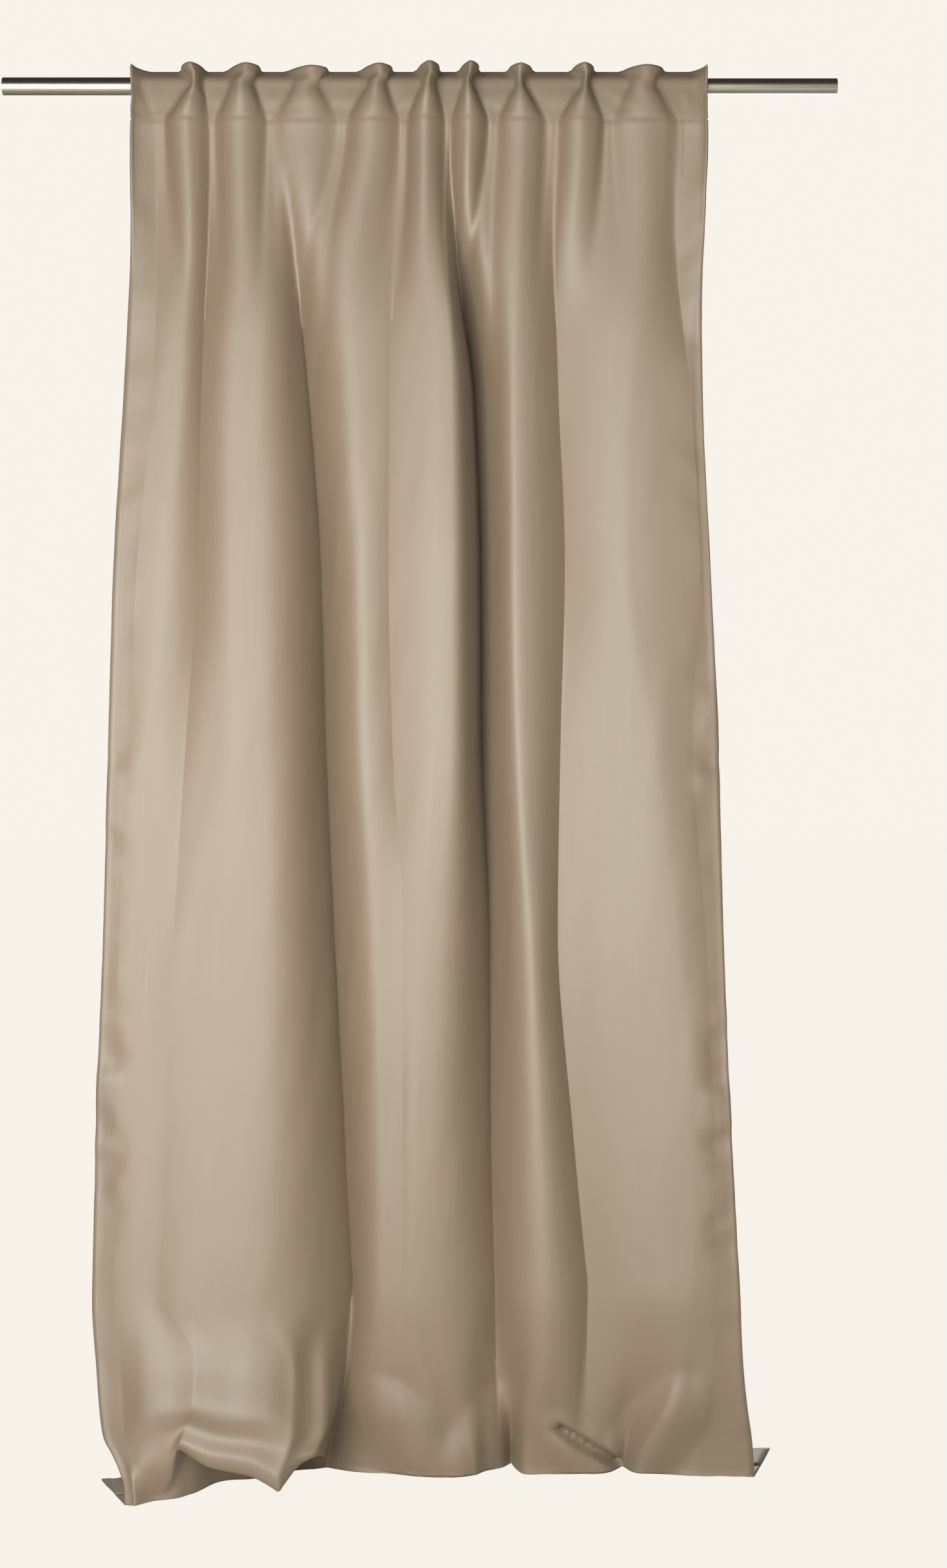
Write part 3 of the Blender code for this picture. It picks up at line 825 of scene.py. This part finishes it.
def stitching_tree():
    """Dashes of thread along a path, with the stitch sizes as named inputs."""
    tree = bpy.data.node_groups.new("row_of_stitches", "GeometryNodeTree")
    face = tree.interface
    face.new_socket("Geometry", in_out="INPUT", socket_type="NodeSocketGeometry")
    for name, value in (("Stitch step", 0.0042), ("Stitch length", 0.0031), ("Thread thickness", 0.0008)):
        face.new_socket(name, in_out="INPUT", socket_type="NodeSocketFloat").default_value = value
    face.new_socket("Thread", in_out="INPUT", socket_type="NodeSocketMaterial")
    face.new_socket("Geometry", in_out="OUTPUT", socket_type="NodeSocketGeometry")
    given = add(tree, "NodeGroupInput").outputs
    path = add(tree, "GeometryNodeMeshToCurve", Mesh=given["Geometry"])
    steps = add(tree, "GeometryNodeResampleCurve", {"mode": "LENGTH"}, Curve=path.outputs[0],
                Length=given["Stitch step"])
    heading_along = add(tree, "GeometryNodeInputTangent")
    turned = add(tree, "FunctionNodeAlignRotationToVector", {"axis": "X"}, Vector=heading_along.outputs[0])
    spindle = add(tree, "GeometryNodeMeshUVSphere", Segments=6, Rings=4, Radius=0.5)
    size = add(tree, "ShaderNodeCombineXYZ", X=given["Stitch length"], Y=given["Thread thickness"],
               Z=given["Thread thickness"])
    dash = add(tree, "GeometryNodeTransform", Geometry=spindle.outputs[0], Scale=size.outputs[0])
    laid = add(tree, "GeometryNodeInstanceOnPoints", Points=steps.outputs[0], Instance=dash.outputs[0],
               Rotation=turned.outputs[0])
    real = add(tree, "GeometryNodeRealizeInstances", Geometry=laid.outputs[0])
    done = add(tree, "GeometryNodeSetMaterial", Geometry=real.outputs[0], Material=given["Thread"])
    add(tree, "NodeGroupOutput", Geometry=done.outputs[0])
    return tree


STITCHING = stitching_tree()


# %% A stitched piece from its paths
def stitched(name, paths, body="curtain", draw=True):
    """Rows of stitches along paths of points, as one plain mesh on one body."""
    mesh = bpy.data.meshes.new(name)
    points = np.vstack(paths)
    edges, start = [], 0
    for path in paths:
        edges += [(start + i, start + i + 1) for i in range(len(path) - 1)]
        start += len(path)
    mesh.from_pydata(points.tolist(), edges, [])
    piece = bpy.data.objects.new(name, mesh)
    bpy.context.collection.objects.link(piece)
    modifier = piece.modifiers.new("stitches", "NODES")
    modifier.node_group = STITCHING
    for item in STITCHING.interface.items_tree:
        if item.in_out == "INPUT" and item.name == "Thread":
            modifier[item.identifier] = THREAD
    bpy.context.view_layer.update()
    plain = bpy.data.meshes.new_from_object(piece.evaluated_get(bpy.context.evaluated_depsgraph_get()))
    piece.modifiers.clear()
    piece.data = plain
    plain.name = name
    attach(piece, body)
    if draw:
        gather(piece)
    print(name, len(plain.polygons), "faces")
    return piece


# %% The rows of stitching
ALONG = np.linspace(0.004, FLAT_WIDTH - 0.004, 900)
heading_stitches = stitched("heading_stitches", [on_cloth(ALONG, SEAM_DOWN, 0.0002)])
DOWN_SIDE = np.linspace(HEADING_DEPTH + 0.006, FLAT_LENGTH - HEM_DEPTH, 900)
side_stitches = stitched("side_stitches", [
    on_cloth(SIDE_SEAM, DOWN_SIDE, 0.0002), on_cloth(FLAT_WIDTH - SIDE_SEAM, DOWN_SIDE, 0.0002)])
foot_stitches = stitched("bottom_hem_stitches", [on_cloth(ALONG, HEM_SEAM_DOWN, 0.0002)])
for number, x in enumerate(TAB_X, start=1):
    rows = []
    for z in (0.0212, -0.0545):
        y = held_back(z) + TAB_BEHIND + TAB_T + 0.0001
        reach = 0.5 * TAB_WIDTH - 0.003
        rows.append([(x + s, y, z) for s in np.linspace(-reach, reach, 12)])
    stitched(
        "tab_stitches_%02d" % number, rows, body="curtain" if number == 1 else "tab_%02d" % number,
        draw=False,
    )

# %% [markdown]
# ## The rod
#
# The rod is two thin steel tubes, one sliding in the other. A tube is a ring's section turned
# round its axis, so it is built that way, with a small chamfer where the saw cut was dressed.

# %% Brushed nickel-plated steel: warm grey, bright in a band along the light


def plated_steel(name, colour, roughness):
    """Nickel plating brushed along the tube: long scratches blur the reflections crosswise."""
    material, tree = new_material(name)
    place = add(tree, "ShaderNodeTexCoord").outputs["Object"]
    drawn_out = add(tree, "ShaderNodeMapping", Vector=place, Scale=(6.0, 900.0, 900.0))
    scratches = add(tree, "ShaderNodeTexNoise", Vector=drawn_out.outputs[0], Scale=1.0, Detail=2.0)
    clouds = add(tree, "ShaderNodeTexNoise", Vector=place, Scale=9.0, Detail=2.0)
    tone = add(tree, "ShaderNodeMix", {"data_type": "RGBA"}, in_0=clouds.outputs["Fac"],
               in_6=linear(colour), in_7=linear("#D9D2C3"))
    shine = add(tree, "ShaderNodeMapRange", Value=scratches.outputs["Fac"], To_Min=roughness - 0.05,
                To_Max=roughness + 0.07)
    relief = add(tree, "ShaderNodeBump", Strength=0.06, Distance=0.0002, Height=scratches.outputs["Fac"])
    surface = add(tree, "ShaderNodeBsdfPrincipled", Base_Color=tone.outputs[2], Roughness=shine.outputs[0],
                  Metallic=1.0, Normal=relief.outputs[0])
    add(tree, "ShaderNodeOutputMaterial", Surface=surface.outputs[0])
    return material


# %% The two tubes
INNER_R = 0.0125
OUTER_WALL, INNER_WALL = 0.0011, 0.0010


def turned_tube(name, node, radius, wall, material, body):
    """A round tube between a CAD tube's two ends, its rims chamfered."""
    low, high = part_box(node)
    edge = 0.0003
    start, end = low[0], high[0]
    long_cuts = 12
    section = [(start + edge + (end - start - 2 * edge) * i / long_cuts, radius) for i in range(long_cuts)]
    section += [(end - edge, radius), (end, radius - edge), (end, radius - wall + edge),
                (end - edge, radius - wall), (start + edge, radius - wall),
                (start, radius - wall + edge), (start, radius - edge)]
    around = 72
    turns = np.linspace(0, 2 * math.pi, around, endpoint=False)
    verts = [(x, r * math.cos(a), r * math.sin(a)) for a in turns for x, r in section]
    n = len(section)
    faces = []
    for k in range(around):
        here, beside = k * n, (k + 1) % around * n
        faces += [(here + i, here + (i + 1) % n, beside + (i + 1) % n, beside + i) for i in range(n)]
    mesh = bpy.data.meshes.new(name)
    mesh.from_pydata(verts, [], faces)
    bm = bmesh.new()
    bm.from_mesh(mesh)
    bmesh.ops.recalc_face_normals(bm, faces=bm.faces)
    bm.to_mesh(mesh)
    bm.free()
    mesh.polygons.foreach_set("use_smooth", [True] * len(mesh.polygons))
    mesh.set_sharp_from_angle(angle=math.radians(30))
    mesh.materials.append(material)
    piece = bpy.data.objects.new(name, mesh)
    bpy.context.collection.objects.link(piece)
    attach(piece, body)
    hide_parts(node)
    print(name, "from", round(start, 4), "to", round(end, 4), "m")
    return piece


STEEL = plated_steel("brushed_nickel_plated_steel", "#C9C1B0", 0.26)
outer_tube = turned_tube("outer_rod_tube", "rod_outer_tube", ROD_R, OUTER_WALL, STEEL,
                         "rod")
inner_tube = turned_tube("inner_rod_tube", "rod_inner_tube", INNER_R, INNER_WALL, STEEL,
                         "rod_inner")

# %% [markdown]
# ## What each cloth piece was cut to
#
# The curtain was cut 1.40 m wide and 2.45 m long after hemming. The hems and the stitching are
# part of it, and each tab is its own short strip pulled round the rod.

# %% [markdown]
# ## Floor, light and camera
#
# A large soft light stands in front, a little to the left and a little above the middle of the
# curtain, so the folds are bright in front and darken towards their valleys. The room above
# is dark, which leaves the upper half of the rod dark as well.

# %% A pale floor


def pale_floor():
    """Painted floor: glows a little where the camera sees it, so that it stays even and pale."""
    material, tree = new_material("pale_painted_floor")
    path = add(tree, "ShaderNodeLightPath")
    paint = add(tree, "ShaderNodeBsdfDiffuse", Color=linear("#D9D4CB"))
    glow = add(tree, "ShaderNodeEmission", Color=linear("#F7F3EB"), Strength=1.004)
    share = add(tree, "ShaderNodeMath", {"operation": "MULTIPLY"}, in_0=path.outputs["Is Camera Ray"],
                in_1=0.985)
    both = add(tree, "ShaderNodeMixShader", in_0=share.outputs[0], in_1=paint.outputs[0],
               in_2=glow.outputs[0])
    add(tree, "ShaderNodeOutputMaterial", Surface=both.outputs[0])
    mesh = bpy.data.meshes.new("floor")
    half, z = 40.0, -ROD_HEIGHT
    mesh.from_pydata([(-half, -half, z), (half, -half, z), (half, half, z), (-half, half, z)], [],
                     [(0, 1, 2, 3)])
    mesh.materials.append(material)
    floor = bpy.data.objects.new("floor", mesh)
    bpy.context.collection.objects.link(floor)


pale_floor()

# %% The room's own light
world = bpy.data.worlds.new("room")
bpy.context.scene.world = world
world.use_nodes = True
room = world.node_tree
room.nodes.clear()
ray = add(room, "ShaderNodeLightPath")
direction = add(room, "ShaderNodeSeparateXYZ", Vector=add(room, "ShaderNodeTexCoord").outputs["Generated"])
height = add(room, "ShaderNodeMapRange", Value=direction.outputs["Z"], From_Min=-0.1, From_Max=0.45,
             To_Min=0.30, To_Max=0.05)
dim = add(room, "ShaderNodeBackground", Color=linear("#F4EEE4"), Strength=height.outputs[0])
seen = add(room, "ShaderNodeBackground", Color=linear("#F7F3EB"), Strength=1.0)
mixed = add(room, "ShaderNodeMixShader", in_0=ray.outputs["Is Camera Ray"], in_1=dim.outputs[0],
            in_2=seen.outputs[0])
add(room, "ShaderNodeOutputWorld", Surface=mixed.outputs[0])


# %% Lamps
def soft_light(name, place, target, size, power):
    """A soft box, (width, height), that the camera doesn't see."""
    data = bpy.data.lights.new(name, "AREA")
    data.shape = "RECTANGLE"
    data.size, data.size_y = size
    data.energy = power
    lamp = bpy.data.objects.new(name, data)
    bpy.context.collection.objects.link(lamp)
    lamp.location = place
    lamp.rotation_euler = (Vector(target) - Vector(place)).to_track_quat("-Z", "Y").to_euler()
    lamp.visible_camera = False


soft_light("main_light", (-0.75, -3.00, -0.84), (0.05, 0.0, -0.88), (1.9, 2.0), 125.0)
soft_light("side_fill", (2.40, -2.60, -0.90), (0.0, 0.0, -1.10), (1.2, 1.8), 12.0)
soft_light("back_fill", (0.90, 3.00, -0.60), (0.0, 0.0, -1.10), (1.6, 1.6), 45.0)

# %% Camera
camera_data = bpy.data.cameras.new("camera")
camera_data.sensor_fit = "VERTICAL"
camera_data.sensor_height = 36.0
camera_data.lens = 56.6
camera = bpy.data.objects.new("camera", camera_data)
bpy.context.collection.objects.link(camera)
camera.location = (0.087, -4.0, -1.132)
camera.rotation_euler = (math.radians(90), 0.0, 0.0)
bpy.context.scene.camera = camera
bpy.context.scene.view_settings.view_transform = "Standard"
bpy.context.scene.view_settings.look = "None"
